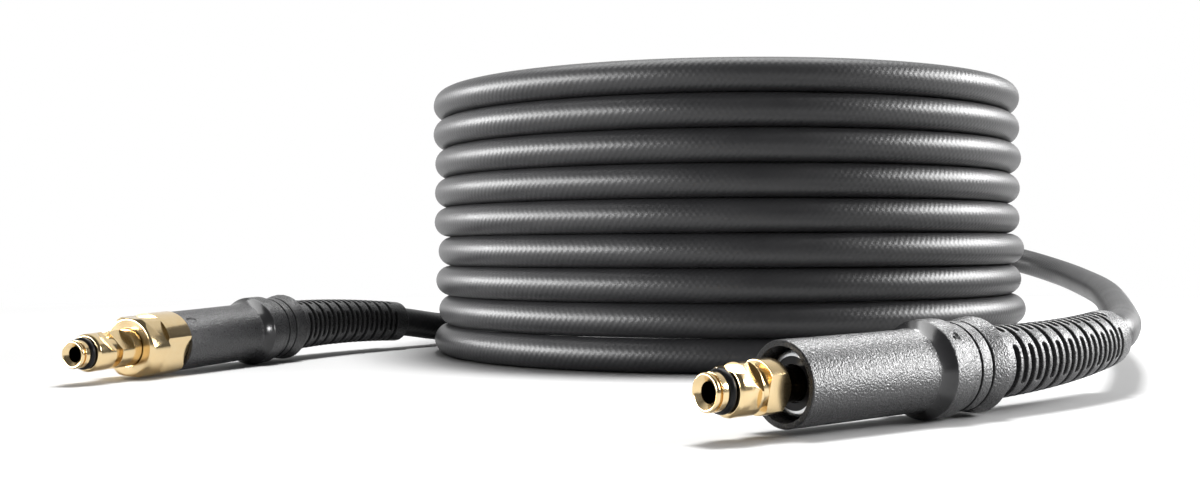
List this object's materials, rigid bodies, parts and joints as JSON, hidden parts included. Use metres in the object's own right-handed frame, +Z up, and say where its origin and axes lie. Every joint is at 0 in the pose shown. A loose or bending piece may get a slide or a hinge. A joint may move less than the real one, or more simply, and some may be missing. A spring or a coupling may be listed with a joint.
{
  "type": "pressure washer hose",
  "caption": "High-pressure hose of black braided rubber, wound into a low coil, with a brass plug nipple, a grip sleeve and a slotted bend protector on each end.",
  "frame": {"origin": "on the floor, under the middle of the whole hose's bounding box", "axes": "+Z up along the coil's axis; +Y away from the viewer, from the fittings to the coil; +X to the viewer's right"},
  "size_m": [0.4347, 0.4785, 0.117],
  "materials": {
    "braided_rubber": "satin, with a fine braid imprint",
    "black_plastic": "matte, spark-eroded grain",
    "zinc_plated_steel": "bright zinc plate",
    "machined_brass": "machined and polished",
    "seal_rubber": "smooth, greased"
  },
  "bodies": {
    "root": {"hose_coil": "braided_rubber", "hose_tail_left": "braided_rubber", "hose_tail_right": "braided_rubber", "grip_sleeve_left": "black_plastic", "grip_sleeve_right": "black_plastic", "bend_protector_left": "black_plastic", "bend_protector_right": "black_plastic", "ferrule_left": "zinc_plated_steel", "ferrule_right": "zinc_plated_steel", "plug_nipple_left": "machined_brass", "plug_nipple_right": "machined_brass", "seal_ring_left": "seal_rubber", "seal_ring_right": "seal_rubber", "union_left": "machined_brass"}
  },
  "joints": []
}
